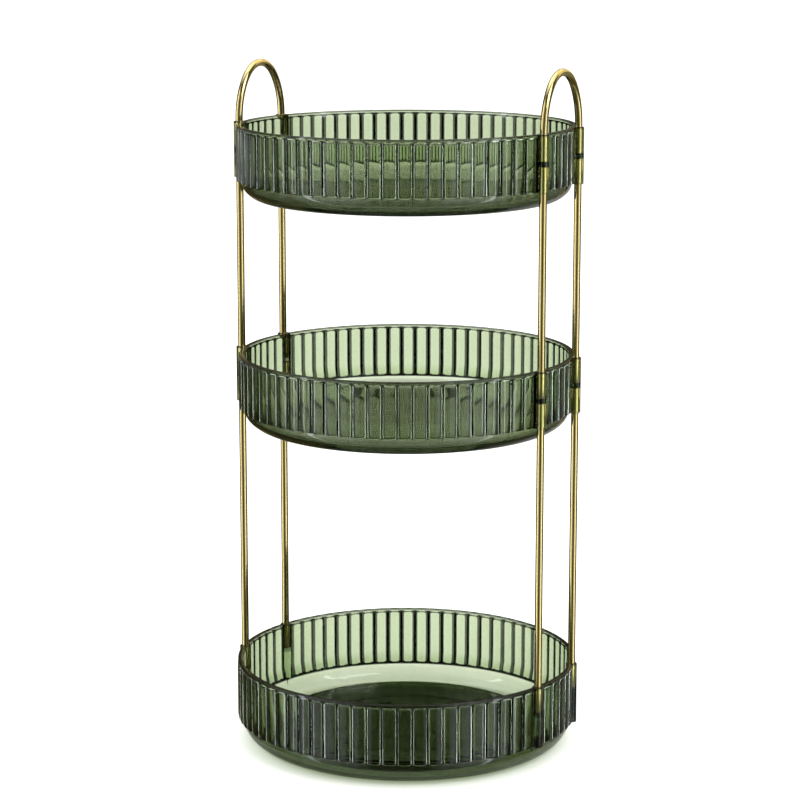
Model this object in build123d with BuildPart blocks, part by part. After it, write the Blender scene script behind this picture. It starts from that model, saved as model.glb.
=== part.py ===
from build123d import *
import math
import os

os.makedirs("parts", exist_ok=True)

# Rotating makeup organizer: three round open trays with ribbed walls, stacked
# on four lower and four upper rods, with two arch handles, on a low turntable.
# Millimetres. +Z up, origin on the table under the centre of the base.
# +X runs through the middle of the right-hand handle.

# ---------------------------------------------------------------- dimensions
# heights of the three rims above the table
BOTTOM_RIM = 57.0
MIDDLE_RIM = 267.0
TOP_RIM = 418.8

# tray wall, seen in section
RIM_R = 115.0          # outside radius of the plain rim band
RIM_BAND = 1.8         # height of the plain rim band
WALL_R = 113.6         # radius at the valleys between the ribs
RIB_CREST_R = 115.4    # radius at the rib crests
RIBS = 72
WALL_IN_R = 111.8      # inside radius of the wall
RIM_ROUND = 0.5
RIBBED_H = 37.0        # rim to the foot of the ribs, middle and top tray
BOTTOM_RIBBED_H = 41.0 # the same on the bottom tray
WALL_T = 2.4           # thickness of the dish and floor
TURN_A = 12.0          # degrees: where the inside corner runs out into the wall
INSET = 3.2            # the middle and top tray are this much smaller in radius,
                       # so that their rod tubes stand proud of the wall

# rounded dish under the ribs, middle and top tray: two tangent arcs
DISH_R = 112.0         # radius where the dish starts
DISH_WIDE = 16.0       # how far in the dish curves
DISH_DEEP = 12.5       # how far down the dish curves
SIDE_ARC_R = 10.0      # the arc beside the wall
RECESS = 0.6           # shallow recess inside the foot ring of a tray
RECESS_R = 88.8

# bottom tray: rounder dish close to the table, raised floor over the turntable
BOTTOM_ARC_R = 15.0
BOTTOM_WALL_T = 2.5
PLATFORM_TOP = 9.0
PLATFORM_UNDER = 6.4
PLATFORM_R = 90.0      # radius of the raised floor, on top
GUTTER_R = 94.0        # foot of its sloping edge
RECESS_TOP_R = 88.5    # the same edge from below
RECESS_FOOT_R = 92.5
POST_R = 4.0
POST_RING_R = 45.0
POST_Z = 5.9           # underside of the screw posts and the two support rings
PILOT_R = 1.25
PILOT_TOP = 8.2
RING_A_R = 30.0
RING_B_R = 60.0
RING_T = 2.0

# rod tubes on the wall
ROD_R = 2.5
ROD_RING_R = 113.4     # radius of the circle through the rod centres
LEG_HALF = 15.0        # angle of each rod either side of the X axis
TUBE_R = 3.75
SOCKET_R = 2.55
SOCKET_UP = 17.5       # depth of the upper socket
SOCKET_DOWN = 17.0     # depth of the lower socket
ROD_CHAMFER = 0.4

# arch handles
ARCH_RISE = 37.0       # rim to the middle of the bar at the apex
ARCH_TOP_R = 25.5      # radius of the crown arc
ARCH_CROWN = 48.0      # half angle of the crown arc

# turntable
BASE_R = 88.0
BASE_Z0 = 0.8
BASE_Z1 = 2.0
RACE_R = 76.0          # pitch radius of the ball ring
RACE_HALF = 5.0        # half width of the groove ring
BASE_RACE_Z = 2.5
GROOVE_R = 2.15
BALL_R = 2.0
BALLS = 30
BALL_Z = 3.5
PLATE_R = 84.0
PLATE_Z0 = 4.7
PLATE_Z1 = 5.9
PLATE_RACE_Z0 = 4.2
PLATE_RACE_Z1 = 6.3
CAGE_Z0 = 2.85
CAGE_Z1 = 3.85
CAGE_HALF = 4.2
FOOT_R = 4.5
FOOT_RING_R = 82.0
FEET = 8
FOOT_Z1 = 1.3
SCREWS = 4
SCREW_HEAD_R = 2.5
SCREW_HEAD_H = 1.4
PIN_R = 3.0
HUB_R = 9.0
ACCESS_R = 4.5


def rod_points():
    """Centres of the four rods, on the circle ROD_RING_R."""
    out = []
    for centre in (0.0, 180.0):
        for side in (-1, 1):
            a = math.radians(centre + side * LEG_HALF)
            out.append((ROD_RING_R * math.cos(a), ROD_RING_R * math.sin(a)))
    return out


ROD_RF, ROD_RB, ROD_LB, ROD_LF = rod_points()

# The dish of the middle and top tray: the side arc is centred at the foot of
# the ribs, the floor arc is tangent to it and to the flat floor.
FLOOR_ARC_R = (DISH_WIDE**2 + DISH_DEEP**2 - 2 * DISH_WIDE * SIDE_ARC_R) / (
    2 * (DISH_DEEP - SIDE_ARC_R)
)
SIDE_C = (DISH_R - INSET - SIDE_ARC_R, 0.0)
FLOOR_C = (DISH_R - INSET - DISH_WIDE, FLOOR_ARC_R - DISH_DEEP)
_d = math.hypot(SIDE_C[0] - FLOOR_C[0], SIDE_C[1] - FLOOR_C[1])
_u = ((SIDE_C[0] - FLOOR_C[0]) / _d, (SIDE_C[1] - FLOOR_C[1]) / _d)


def on_arc(centre, radius, degrees):
    a = math.radians(degrees)
    return (centre[0] + radius * math.cos(a), centre[1] + radius * math.sin(a))


def side_knee(thick, foot):
    """Where the side arc and the floor arc of the dish meet."""
    r = SIDE_ARC_R - thick
    return (SIDE_C[0] + r * _u[0], foot + SIDE_C[1] + r * _u[1])


KNEE_A = math.degrees(math.atan2(_u[1], _u[0]))


def rim_and_ribs_edge(foot, rim, inset=0.0):
    """Outside of the wall from the foot of the ribs up and over the rim."""
    rim_r, wall_r = RIM_R - inset, WALL_R - inset
    Polyline(
        (DISH_R - inset, foot), (wall_r, foot), (wall_r, rim - RIM_BAND),
        (rim_r, rim - RIM_BAND + 0.3), (rim_r, rim - RIM_ROUND),
    )
    ThreePointArc(
        (rim_r, rim - RIM_ROUND),
        on_arc((rim_r - RIM_ROUND, rim - RIM_ROUND), RIM_ROUND, 45),
        (rim_r - RIM_ROUND, rim),
    )


def upper_tray_solid(rim):
    """Filled half section of the middle and top tray, closed on the axis."""
    foot = rim - RIBBED_H
    under = foot - DISH_DEEP
    knee = side_knee(0, foot)
    with BuildSketch(Plane.XZ) as sk:
        with BuildLine():
            Polyline(
                (0, rim), (0, under + RECESS), (RECESS_R, under + RECESS),
                (RECESS_R + RECESS, under), (FLOOR_C[0], under),
            )
            ThreePointArc(
                (FLOOR_C[0], under),
                on_arc((FLOOR_C[0], foot + FLOOR_C[1]), FLOOR_ARC_R, (KNEE_A - 90) / 2),
                knee,
            )
            ThreePointArc(
                knee, on_arc((SIDE_C[0], foot), SIDE_ARC_R, KNEE_A / 2),
                (DISH_R - INSET, foot),
            )
            rim_and_ribs_edge(foot, rim, INSET)
            Line((RIM_R - INSET - RIM_ROUND, rim), (0, rim))
        make_face()
    return sk.sketch


def rim_mouth(rim, inset=0.0):
    """Inside edge of the rim, rounded over into the wall."""
    r = WALL_IN_R - inset
    Line((0, rim + 1), (r + RIM_ROUND, rim + 1))
    Line((r + RIM_ROUND, rim + 1), (r + RIM_ROUND, rim))
    ThreePointArc(
        (r + RIM_ROUND, rim),
        on_arc((r + RIM_ROUND, rim - RIM_ROUND), RIM_ROUND, 135),
        (r, rim - RIM_ROUND),
    )


def upper_tray_cavity(rim):
    """Half section of the space inside the middle and top tray."""
    foot = rim - RIBBED_H
    floor = foot - DISH_DEEP + WALL_T
    r1, r2 = SIDE_ARC_R - WALL_T, FLOOR_ARC_R - WALL_T
    start = on_arc((SIDE_C[0], foot), r1, -TURN_A)
    a = math.radians(TURN_A)
    wall = WALL_IN_R - INSET
    run = (wall - start[0]) / math.sin(a)
    with BuildSketch(Plane.XZ) as sk:
        with BuildLine():
            rim_mouth(rim, INSET)
            Line((wall, rim - RIM_ROUND), (wall, start[1] + run * math.cos(a)))
            Line((wall, start[1] + run * math.cos(a)), start)
            ThreePointArc(
                start, on_arc((SIDE_C[0], foot), r1, (KNEE_A - TURN_A) / 2),
                side_knee(WALL_T, foot),
            )
            ThreePointArc(
                side_knee(WALL_T, foot),
                on_arc((FLOOR_C[0], foot + FLOOR_C[1]), r2, (KNEE_A - 90) / 2),
                (FLOOR_C[0], floor),
            )
            Line((FLOOR_C[0], floor), (0, floor))
            Line((0, floor), (0, rim + 1))
        make_face()
    return sk.sketch


def bottom_tray_solid(rim):
    """Half section of the bottom tray, filled above the turntable recess."""
    foot = rim - BOTTOM_RIBBED_H
    under = foot - BOTTOM_ARC_R
    c = (DISH_R - BOTTOM_ARC_R, foot)
    with BuildSketch(Plane.XZ) as sk:
        with BuildLine():
            Polyline(
                (0, rim), (0, PLATFORM_UNDER), (RECESS_TOP_R, PLATFORM_UNDER),
                (RECESS_FOOT_R, under), (c[0], under),
            )
            ThreePointArc((c[0], under), on_arc(c, BOTTOM_ARC_R, -45), (DISH_R, foot))
            rim_and_ribs_edge(foot, rim)
            Line((RIM_R - RIM_ROUND, rim), (0, rim))
        make_face()
    return sk.sketch


def bottom_tray_cavity(rim):
    """Half section of the space inside the bottom tray."""
    foot = rim - BOTTOM_RIBBED_H
    r = BOTTOM_ARC_R - BOTTOM_WALL_T
    c = (DISH_R - BOTTOM_ARC_R, foot)
    floor = foot - r
    start = on_arc(c, r, -TURN_A)
    a = math.radians(TURN_A)
    run = (WALL_IN_R - start[0]) / math.sin(a)
    with BuildSketch(Plane.XZ) as sk:
        with BuildLine():
            rim_mouth(rim)
            Line((WALL_IN_R, rim - RIM_ROUND), (WALL_IN_R, start[1] + run * math.cos(a)))
            Line((WALL_IN_R, start[1] + run * math.cos(a)), start)
            ThreePointArc(start, on_arc(c, r, -(90 + TURN_A) / 2), (c[0], floor))
            Polyline(
                (c[0], floor), (GUTTER_R, floor), (PLATFORM_R, PLATFORM_TOP),
                (0, PLATFORM_TOP), (0, rim + 1),
            )
        make_face()
    return sk.sketch


def rib_ring(z, inset=0.0):
    """Flat ring whose outer edge is shallow arcs, one per rib. The rib that
    would stand where a rod tube is stays at the radius of the valleys."""
    pitch = 2 * math.pi / RIBS
    valley = WALL_R - inset
    at_tube = [round(a / (360 / RIBS)) % RIBS for a in (-LEG_HALF, LEG_HALF, 180 - LEG_HALF, 180 + LEG_HALF)]
    with BuildSketch(Plane.XY.offset(z)) as sk:
        with BuildLine():
            for i in range(RIBS):
                a0, am, a1 = (i - 0.5) * pitch, i * pitch, (i + 0.5) * pitch
                crest = valley if i in at_tube else RIB_CREST_R - inset
                ThreePointArc(
                    (valley * math.cos(a0), valley * math.sin(a0)),
                    (crest * math.cos(am), crest * math.sin(am)),
                    (valley * math.cos(a1), valley * math.sin(a1)),
                )
        make_face()
        Circle(valley - 0.6, mode=Mode.SUBTRACT)
    return sk.sketch


def discs(z, radius):
    """One disc on each rod centre."""
    with BuildSketch(Plane.XY.offset(z)) as sk:
        with Locations(*rod_points()):
            Circle(radius)
    return sk.sketch


def proud_tubes(z):
    """The rod tubes of the middle and top tray: round outside, and filled
    straight back to the wall that they stand proud of."""
    back = WALL_IN_R - INSET + 0.6
    with BuildSketch(Plane.XY.offset(z)) as sk:
        with Locations(*rod_points()):
            Circle(TUBE_R)
        for a in (-LEG_HALF, LEG_HALF, 180 - LEG_HALF, 180 + LEG_HALF):
            mid = (back + ROD_RING_R) / 2
            at = (mid * math.cos(math.radians(a)), mid * math.sin(math.radians(a)), 0)
            with Locations(Location(at, (0, 0, a))):
                Rectangle(ROD_RING_R - back, 2 * TUBE_R)
    return sk.sketch


# -------------------------------------------------------------------- trays
# The space inside the bottom tray leaves a half-round column down the wall at
# every rod, so the tubes run on to the floor inside. The other two trays have
# a round wall inside.
with BuildPart() as bottom_space:
    revolve(bottom_tray_cavity(BOTTOM_RIM), axis=Axis.Z)
    extrude(discs(0, TUBE_R), amount=BOTTOM_RIM + 2, mode=Mode.SUBTRACT)

with BuildPart() as middle_space:
    revolve(upper_tray_cavity(MIDDLE_RIM), axis=Axis.Z)

with BuildPart() as top_space:
    revolve(upper_tray_cavity(TOP_RIM), axis=Axis.Z)

with BuildPart() as bottom_tray:
    revolve(bottom_tray_solid(BOTTOM_RIM), axis=Axis.Z)
    extrude(rib_ring(BOTTOM_RIM - BOTTOM_RIBBED_H), amount=BOTTOM_RIBBED_H - RIM_BAND)
    extrude(discs(BOTTOM_RIM - BOTTOM_RIBBED_H, TUBE_R), amount=BOTTOM_RIBBED_H)
    add(bottom_space.part, mode=Mode.SUBTRACT)
    # sockets for the lower rods
    extrude(discs(BOTTOM_RIM, SOCKET_R), amount=-SOCKET_UP, mode=Mode.SUBTRACT)
    # screw posts and the two support rings under the raised floor
    with BuildSketch(Plane.XY.offset(POST_Z)):
        with PolarLocations(POST_RING_R, SCREWS, start_angle=45):
            Circle(POST_R)
    extrude(amount=PLATFORM_UNDER - POST_Z)
    with BuildSketch(Plane.XY.offset(POST_Z)):
        Circle(RING_A_R + RING_T / 2)
        Circle(RING_A_R - RING_T / 2, mode=Mode.SUBTRACT)
    extrude(amount=PLATFORM_UNDER - POST_Z)
    with BuildSketch(Plane.XY.offset(POST_Z)):
        Circle(RING_B_R + RING_T / 2)
        Circle(RING_B_R - RING_T / 2, mode=Mode.SUBTRACT)
    extrude(amount=PLATFORM_UNDER - POST_Z)
    with BuildSketch(Plane.XY.offset(POST_Z)):
        with PolarLocations(POST_RING_R, SCREWS, start_angle=45):
            Circle(PILOT_R)
    extrude(amount=PILOT_TOP - POST_Z, mode=Mode.SUBTRACT)
bottom_tray.part.label = "bottom_tray"

with BuildPart() as middle_tray:
    revolve(upper_tray_solid(MIDDLE_RIM), axis=Axis.Z)
    extrude(rib_ring(MIDDLE_RIM - RIBBED_H, INSET), amount=RIBBED_H - RIM_BAND)
    extrude(proud_tubes(MIDDLE_RIM - RIBBED_H), amount=RIBBED_H)
    add(middle_space.part, mode=Mode.SUBTRACT)
    extrude(discs(MIDDLE_RIM, SOCKET_R), amount=-SOCKET_UP, mode=Mode.SUBTRACT)
    extrude(
        discs(MIDDLE_RIM - 60, SOCKET_R),
        amount=60 - RIBBED_H + SOCKET_DOWN, mode=Mode.SUBTRACT,
    )
middle_tray.part.label = "middle_tray"

with BuildPart() as top_tray:
    revolve(upper_tray_solid(TOP_RIM), axis=Axis.Z)
    extrude(rib_ring(TOP_RIM - RIBBED_H, INSET), amount=RIBBED_H - RIM_BAND)
    extrude(proud_tubes(TOP_RIM - RIBBED_H), amount=RIBBED_H)
    add(top_space.part, mode=Mode.SUBTRACT)
    extrude(discs(TOP_RIM, SOCKET_R), amount=-SOCKET_UP, mode=Mode.SUBTRACT)
    extrude(
        discs(TOP_RIM - 60, SOCKET_R),
        amount=60 - RIBBED_H + SOCKET_DOWN, mode=Mode.SUBTRACT,
    )
top_tray.part.label = "top_tray"

# ---------------------------------------------------------------- lower rods
LOWER_Z0 = BOTTOM_RIM - SOCKET_UP
LOWER_Z1 = MIDDLE_RIM - RIBBED_H + SOCKET_DOWN
UPPER_Z0 = MIDDLE_RIM - SOCKET_UP
UPPER_Z1 = TOP_RIM - RIBBED_H + SOCKET_DOWN

with BuildPart() as lower_rod_right_front:
    with BuildSketch(Plane.XY.offset(LOWER_Z0)):
        with Locations(ROD_RF):
            Circle(ROD_R)
    extrude(amount=LOWER_Z1 - LOWER_Z0)
    chamfer(lower_rod_right_front.edges().filter_by(GeomType.CIRCLE), ROD_CHAMFER)
lower_rod_right_front.part.label = "lower_rod_right_front"

with BuildPart() as lower_rod_right_back:
    with BuildSketch(Plane.XY.offset(LOWER_Z0)):
        with Locations(ROD_RB):
            Circle(ROD_R)
    extrude(amount=LOWER_Z1 - LOWER_Z0)
    chamfer(lower_rod_right_back.edges().filter_by(GeomType.CIRCLE), ROD_CHAMFER)
lower_rod_right_back.part.label = "lower_rod_right_back"

with BuildPart() as lower_rod_left_back:
    with BuildSketch(Plane.XY.offset(LOWER_Z0)):
        with Locations(ROD_LB):
            Circle(ROD_R)
    extrude(amount=LOWER_Z1 - LOWER_Z0)
    chamfer(lower_rod_left_back.edges().filter_by(GeomType.CIRCLE), ROD_CHAMFER)
lower_rod_left_back.part.label = "lower_rod_left_back"

with BuildPart() as lower_rod_left_front:
    with BuildSketch(Plane.XY.offset(LOWER_Z0)):
        with Locations(ROD_LF):
            Circle(ROD_R)
    extrude(amount=LOWER_Z1 - LOWER_Z0)
    chamfer(lower_rod_left_front.edges().filter_by(GeomType.CIRCLE), ROD_CHAMFER)
lower_rod_left_front.part.label = "lower_rod_left_front"

# ---------------------------------------------------------------- upper rods
with BuildPart() as upper_rod_right_front:
    with BuildSketch(Plane.XY.offset(UPPER_Z0)):
        with Locations(ROD_RF):
            Circle(ROD_R)
    extrude(amount=UPPER_Z1 - UPPER_Z0)
    chamfer(upper_rod_right_front.edges().filter_by(GeomType.CIRCLE), ROD_CHAMFER)
upper_rod_right_front.part.label = "upper_rod_right_front"

with BuildPart() as upper_rod_right_back:
    with BuildSketch(Plane.XY.offset(UPPER_Z0)):
        with Locations(ROD_RB):
            Circle(ROD_R)
    extrude(amount=UPPER_Z1 - UPPER_Z0)
    chamfer(upper_rod_right_back.edges().filter_by(GeomType.CIRCLE), ROD_CHAMFER)
upper_rod_right_back.part.label = "upper_rod_right_back"

with BuildPart() as upper_rod_left_back:
    with BuildSketch(Plane.XY.offset(UPPER_Z0)):
        with Locations(ROD_LB):
            Circle(ROD_R)
    extrude(amount=UPPER_Z1 - UPPER_Z0)
    chamfer(upper_rod_left_back.edges().filter_by(GeomType.CIRCLE), ROD_CHAMFER)
upper_rod_left_back.part.label = "upper_rod_left_back"

with BuildPart() as upper_rod_left_front:
    with BuildSketch(Plane.XY.offset(UPPER_Z0)):
        with Locations(ROD_LF):
            Circle(ROD_R)
    extrude(amount=UPPER_Z1 - UPPER_Z0)
    chamfer(upper_rod_left_front.edges().filter_by(GeomType.CIRCLE), ROD_CHAMFER)
upper_rod_left_front.part.label = "upper_rod_left_front"

# ------------------------------------------------------------- arch handles
# Each is one bar: straight legs, two flank arcs and a tighter crown arc, all
# tangent, in the vertical plane through the two legs.
HALF_SPAN = ROD_RING_R * math.sin(math.radians(LEG_HALF))
ARCH_X = ROD_RING_R * math.cos(math.radians(LEG_HALF))
LEG_Z0 = TOP_RIM - SOCKET_UP
# The flank arc is tangent to the vertical leg at (HALF_SPAN, spring height)
# and to the crown arc at the end of the crown's half angle.
_s, _c = math.sin(math.radians(ARCH_CROWN)), math.cos(math.radians(ARCH_CROWN))
FLANK_R = (HALF_SPAN - ARCH_TOP_R * _s) / (1 - _s)
CROWN_Z = TOP_RIM + ARCH_RISE - ARCH_TOP_R
KNEE = (ARCH_TOP_R * _s, CROWN_Z + ARCH_TOP_R * _c)
SPRING_Z = KNEE[1] - FLANK_R * _c
MID_A = math.radians((90 - ARCH_CROWN) / 2)
FLANK_MID = (
    HALF_SPAN - FLANK_R + FLANK_R * math.cos(MID_A),
    SPRING_Z + FLANK_R * math.sin(MID_A),
)
print("flank radius", round(FLANK_R, 2), "spring above rim", round(SPRING_Z - TOP_RIM, 2))


def arch_path(plane):
    """Centre line of one handle, drawn in the plane through its legs."""
    with BuildLine(plane) as path:
        Line((-HALF_SPAN, LEG_Z0), (-HALF_SPAN, SPRING_Z))
        ThreePointArc((-HALF_SPAN, SPRING_Z), (-FLANK_MID[0], FLANK_MID[1]), (-KNEE[0], KNEE[1]))
        ThreePointArc((-KNEE[0], KNEE[1]), (0, TOP_RIM + ARCH_RISE), KNEE)
        ThreePointArc(KNEE, FLANK_MID, (HALF_SPAN, SPRING_Z))
        Line((HALF_SPAN, SPRING_Z), (HALF_SPAN, LEG_Z0))
    return path.line


with BuildPart() as right_handle:
    with BuildSketch(Plane((ARCH_X, -HALF_SPAN, LEG_Z0), x_dir=(1, 0, 0), z_dir=(0, 0, 1))):
        Circle(ROD_R)
    sweep(path=arch_path(Plane((ARCH_X, 0, 0), x_dir=(0, 1, 0), z_dir=(1, 0, 0))))
right_handle.part.label = "right_handle"

with BuildPart() as left_handle:
    with BuildSketch(Plane((-ARCH_X, -HALF_SPAN, LEG_Z0), x_dir=(1, 0, 0), z_dir=(0, 0, 1))):
        Circle(ROD_R)
    sweep(path=arch_path(Plane((-ARCH_X, 0, 0), x_dir=(0, 1, 0), z_dir=(1, 0, 0))))
left_handle.part.label = "left_handle"

# ---------------------------------------------------------------- turntable
# Base: flat disc with a grooved ball ring, a centre hub, foot pockets and
# access holes for the four screws.
with BuildPart() as turntable_base:
    with BuildSketch(Plane.XY.offset(BASE_Z0)):
        Circle(BASE_R)
    extrude(amount=BASE_Z1 - BASE_Z0)
    chamfer(turntable_base.edges().filter_by(GeomType.CIRCLE), 0.3)
    with BuildSketch(Plane.XY.offset(BASE_Z1)):
        Circle(RACE_R + RACE_HALF)
        Circle(RACE_R - RACE_HALF, mode=Mode.SUBTRACT)
    extrude(amount=BASE_RACE_Z - BASE_Z1)
    with BuildSketch(Plane.XY.offset(BASE_Z1)):
        Circle(HUB_R)
    extrude(amount=3.8 - BASE_Z1)
    # ball groove
    with BuildSketch(Plane.XZ):
        with Locations((RACE_R, BALL_Z)):
            Circle(GROOVE_R)
    revolve(axis=Axis.Z, mode=Mode.SUBTRACT)
    # rivet hole with a seat for its head below
    with BuildSketch(Plane.XY.offset(BASE_Z0)):
        Circle(PIN_R)
    extrude(amount=8, mode=Mode.SUBTRACT)
    with BuildSketch(Plane.XY.offset(BASE_Z0)):
        Circle(5.4)
    extrude(amount=1.0, mode=Mode.SUBTRACT)
    # foot pockets
    with BuildSketch(Plane.XY.offset(BASE_Z0)):
        with PolarLocations(FOOT_RING_R, FEET, start_angle=22.5):
            Circle(FOOT_R)
    extrude(amount=FOOT_Z1 - BASE_Z0, mode=Mode.SUBTRACT)
    # screw access holes
    with BuildSketch(Plane.XY.offset(BASE_Z0)):
        with PolarLocations(POST_RING_R, SCREWS, start_angle=45):
            Circle(ACCESS_R)
    extrude(amount=4, mode=Mode.SUBTRACT)
turntable_base.part.label = "turntable_base"

with BuildPart() as anti_slip_feet:
    with BuildSketch(Plane.XY):
        with PolarLocations(FOOT_RING_R, FEET, start_angle=22.5):
            Circle(FOOT_R)
    extrude(amount=FOOT_Z1)
    chamfer(anti_slip_feet.edges().filter_by(GeomType.CIRCLE).group_by(Axis.Z)[0], 0.25)
anti_slip_feet.part.label = "anti_slip_feet"

with BuildPart() as bearing_balls:
    with PolarLocations(RACE_R, BALLS):
        with Locations((0, 0, BALL_Z)):
            Sphere(BALL_R)
bearing_balls.part.label = "bearing_balls"

with BuildPart() as ball_cage:
    with BuildSketch(Plane.XY.offset(CAGE_Z0)):
        Circle(RACE_R + CAGE_HALF)
        Circle(RACE_R - CAGE_HALF, mode=Mode.SUBTRACT)
        with PolarLocations(RACE_R, BALLS):
            Circle(BALL_R + 0.1, mode=Mode.SUBTRACT)
    extrude(amount=CAGE_Z1 - CAGE_Z0)
ball_cage.part.label = "ball_cage"

# Top plate: turns with the tray. Its ring has the upper groove, its centre a
# seat for the washer under the rivet's upper head.
with BuildPart() as turntable_top_plate:
    with BuildSketch(Plane.XY.offset(PLATE_Z0)):
        Circle(PLATE_R)
    extrude(amount=PLATE_Z1 - PLATE_Z0)
    chamfer(turntable_top_plate.edges().filter_by(GeomType.CIRCLE), 0.3)
    with BuildSketch(Plane.XY.offset(PLATE_RACE_Z0)):
        Circle(RACE_R + RACE_HALF)
        Circle(RACE_R - RACE_HALF, mode=Mode.SUBTRACT)
    extrude(amount=PLATE_RACE_Z1 - PLATE_RACE_Z0)
    with BuildSketch(Plane.XY.offset(4.2)):
        Circle(HUB_R)
    extrude(amount=PLATE_Z1 - 4.2)
    with BuildSketch(Plane.XZ):
        with Locations((RACE_R, BALL_Z)):
            Circle(GROOVE_R)
    revolve(axis=Axis.Z, mode=Mode.SUBTRACT)
    with BuildSketch(Plane.XY.offset(4.0)):
        Circle(PIN_R + 0.05)
    extrude(amount=4, mode=Mode.SUBTRACT)
    with BuildSketch(Plane.XY.offset(4.95)):
        Circle(6.2)
    extrude(amount=3, mode=Mode.SUBTRACT)
    with BuildSketch(Plane.XY.offset(PLATE_Z0)):
        with PolarLocations(POST_RING_R, SCREWS, start_angle=45):
            Circle(1.55)
    extrude(amount=4, mode=Mode.SUBTRACT)
turntable_top_plate.part.label = "turntable_top_plate"

# Pan-head self-tapping screws, driven up into the posts.
with BuildPart() as fixing_screws:
    with BuildSketch(Plane.XY.offset(PLATE_Z0)):
        with PolarLocations(POST_RING_R, SCREWS, start_angle=45):
            Circle(SCREW_HEAD_R)
    extrude(amount=-SCREW_HEAD_H)
    fillet(fixing_screws.edges().filter_by(GeomType.CIRCLE).group_by(Axis.Z)[0], 0.6)
    with BuildSketch(Plane.XY.offset(PLATE_Z0)):
        with PolarLocations(POST_RING_R, SCREWS, start_angle=45):
            Circle(PILOT_R)
    extrude(amount=PILOT_TOP - 0.2 - PLATE_Z0)
    with BuildSketch(Plane.XY.offset(PLATE_Z0 - SCREW_HEAD_H)):
        with PolarLocations(POST_RING_R, SCREWS, start_angle=45):
            Rectangle(2.4, 0.5)
            Rectangle(0.5, 2.4)
    extrude(amount=0.8, mode=Mode.SUBTRACT)
fixing_screws.part.label = "fixing_screws"

# Pivot rivet: headed below, fast in the base, upset over a washer at the top.
with BuildPart() as pivot_rivet:
    with BuildSketch(Plane.XY.offset(0.9)):
        Circle(5.2)
    extrude(amount=0.9)
    with BuildSketch(Plane.XY.offset(1.8)):
        Circle(PIN_R)
    extrude(amount=3.7)
    with BuildSketch(Plane.XY.offset(5.5)):
        Circle(4.6)
    extrude(amount=0.55)
    chamfer(pivot_rivet.edges().filter_by(GeomType.CIRCLE).group_by(Axis.Z)[-1], 0.25)
    chamfer(pivot_rivet.edges().filter_by(GeomType.CIRCLE).group_by(Axis.Z)[0], 0.25)
pivot_rivet.part.label = "pivot_rivet"

with BuildPart() as pivot_washer:
    with BuildSketch(Plane.XY.offset(5.25)):
        Circle(5.7)
        Circle(PIN_R, mode=Mode.SUBTRACT)
    extrude(amount=0.25)
pivot_washer.part.label = "pivot_washer"

# -------------------------------------------------------------------- export
export_step(bottom_tray.part, "parts/bottom_tray.step")
export_step(middle_tray.part, "parts/middle_tray.step")
export_step(top_tray.part, "parts/top_tray.step")
export_step(lower_rod_right_front.part, "parts/lower_rod_right_front.step")
export_step(lower_rod_right_back.part, "parts/lower_rod_right_back.step")
export_step(lower_rod_left_back.part, "parts/lower_rod_left_back.step")
export_step(lower_rod_left_front.part, "parts/lower_rod_left_front.step")
export_step(upper_rod_right_front.part, "parts/upper_rod_right_front.step")
export_step(upper_rod_right_back.part, "parts/upper_rod_right_back.step")
export_step(upper_rod_left_back.part, "parts/upper_rod_left_back.step")
export_step(upper_rod_left_front.part, "parts/upper_rod_left_front.step")
export_step(right_handle.part, "parts/right_handle.step")
export_step(left_handle.part, "parts/left_handle.step")
export_step(turntable_base.part, "parts/turntable_base.step")
export_step(anti_slip_feet.part, "parts/anti_slip_feet.step")
export_step(bearing_balls.part, "parts/bearing_balls.step")
export_step(ball_cage.part, "parts/ball_cage.step")
export_step(turntable_top_plate.part, "parts/turntable_top_plate.step")
export_step(fixing_screws.part, "parts/fixing_screws.step")
export_step(pivot_rivet.part, "parts/pivot_rivet.step")
export_step(pivot_washer.part, "parts/pivot_washer.step")
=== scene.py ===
import math

import bmesh
import bpy
import numpy as np
from mathutils import Matrix, Vector


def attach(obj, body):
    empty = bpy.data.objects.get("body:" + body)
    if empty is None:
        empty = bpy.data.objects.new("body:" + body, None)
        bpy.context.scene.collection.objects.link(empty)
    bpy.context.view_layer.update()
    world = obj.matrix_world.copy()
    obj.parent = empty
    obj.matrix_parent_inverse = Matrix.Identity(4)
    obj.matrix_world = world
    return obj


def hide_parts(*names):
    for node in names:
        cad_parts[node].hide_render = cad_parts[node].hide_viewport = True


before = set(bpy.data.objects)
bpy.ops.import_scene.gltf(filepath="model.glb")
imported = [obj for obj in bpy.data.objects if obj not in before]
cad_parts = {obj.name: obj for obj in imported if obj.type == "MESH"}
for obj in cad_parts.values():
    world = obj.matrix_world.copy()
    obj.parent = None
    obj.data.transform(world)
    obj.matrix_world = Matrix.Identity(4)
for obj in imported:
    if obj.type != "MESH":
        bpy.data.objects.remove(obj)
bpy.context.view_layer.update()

MM = 0.001

# ------------------------------------------------------------------ dimensions
# The same values as the construction, in millimetres.
BOTTOM_RIM, MIDDLE_RIM, TOP_RIM = 57.0, 267.0, 418.8
RIM_R, RIM_BAND, RIM_ROUND = 115.0, 1.8, 0.5
VALLEY_R, CREST_R, RIBS = 113.6, 115.36, 72
WALL_IN_R = 111.8
RIBBED_H, BOTTOM_RIBBED_H = 37.0, 41.0
DISH_R = 112.0
INSET = 3.2  # the middle and top tray are this much smaller in radius
ROD_R, ROD_RING_R, LEG_HALF = 2.5, 113.4, 15.0
TUBE_R, SOCKET_R, SOCKET_UP, SOCKET_DOWN = 3.75, 2.55, 17.5, 17.0
ARCH_RISE, ARCH_TOP_R, ARCH_CROWN = 36.97, 25.5, 48.0
ROD_ANGLES = [-LEG_HALF, LEG_HALF, 180 - LEG_HALF, 180 + LEG_HALF]
ROD_NAMES = ["right_front", "right_back", "left_back", "left_front"]


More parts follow.
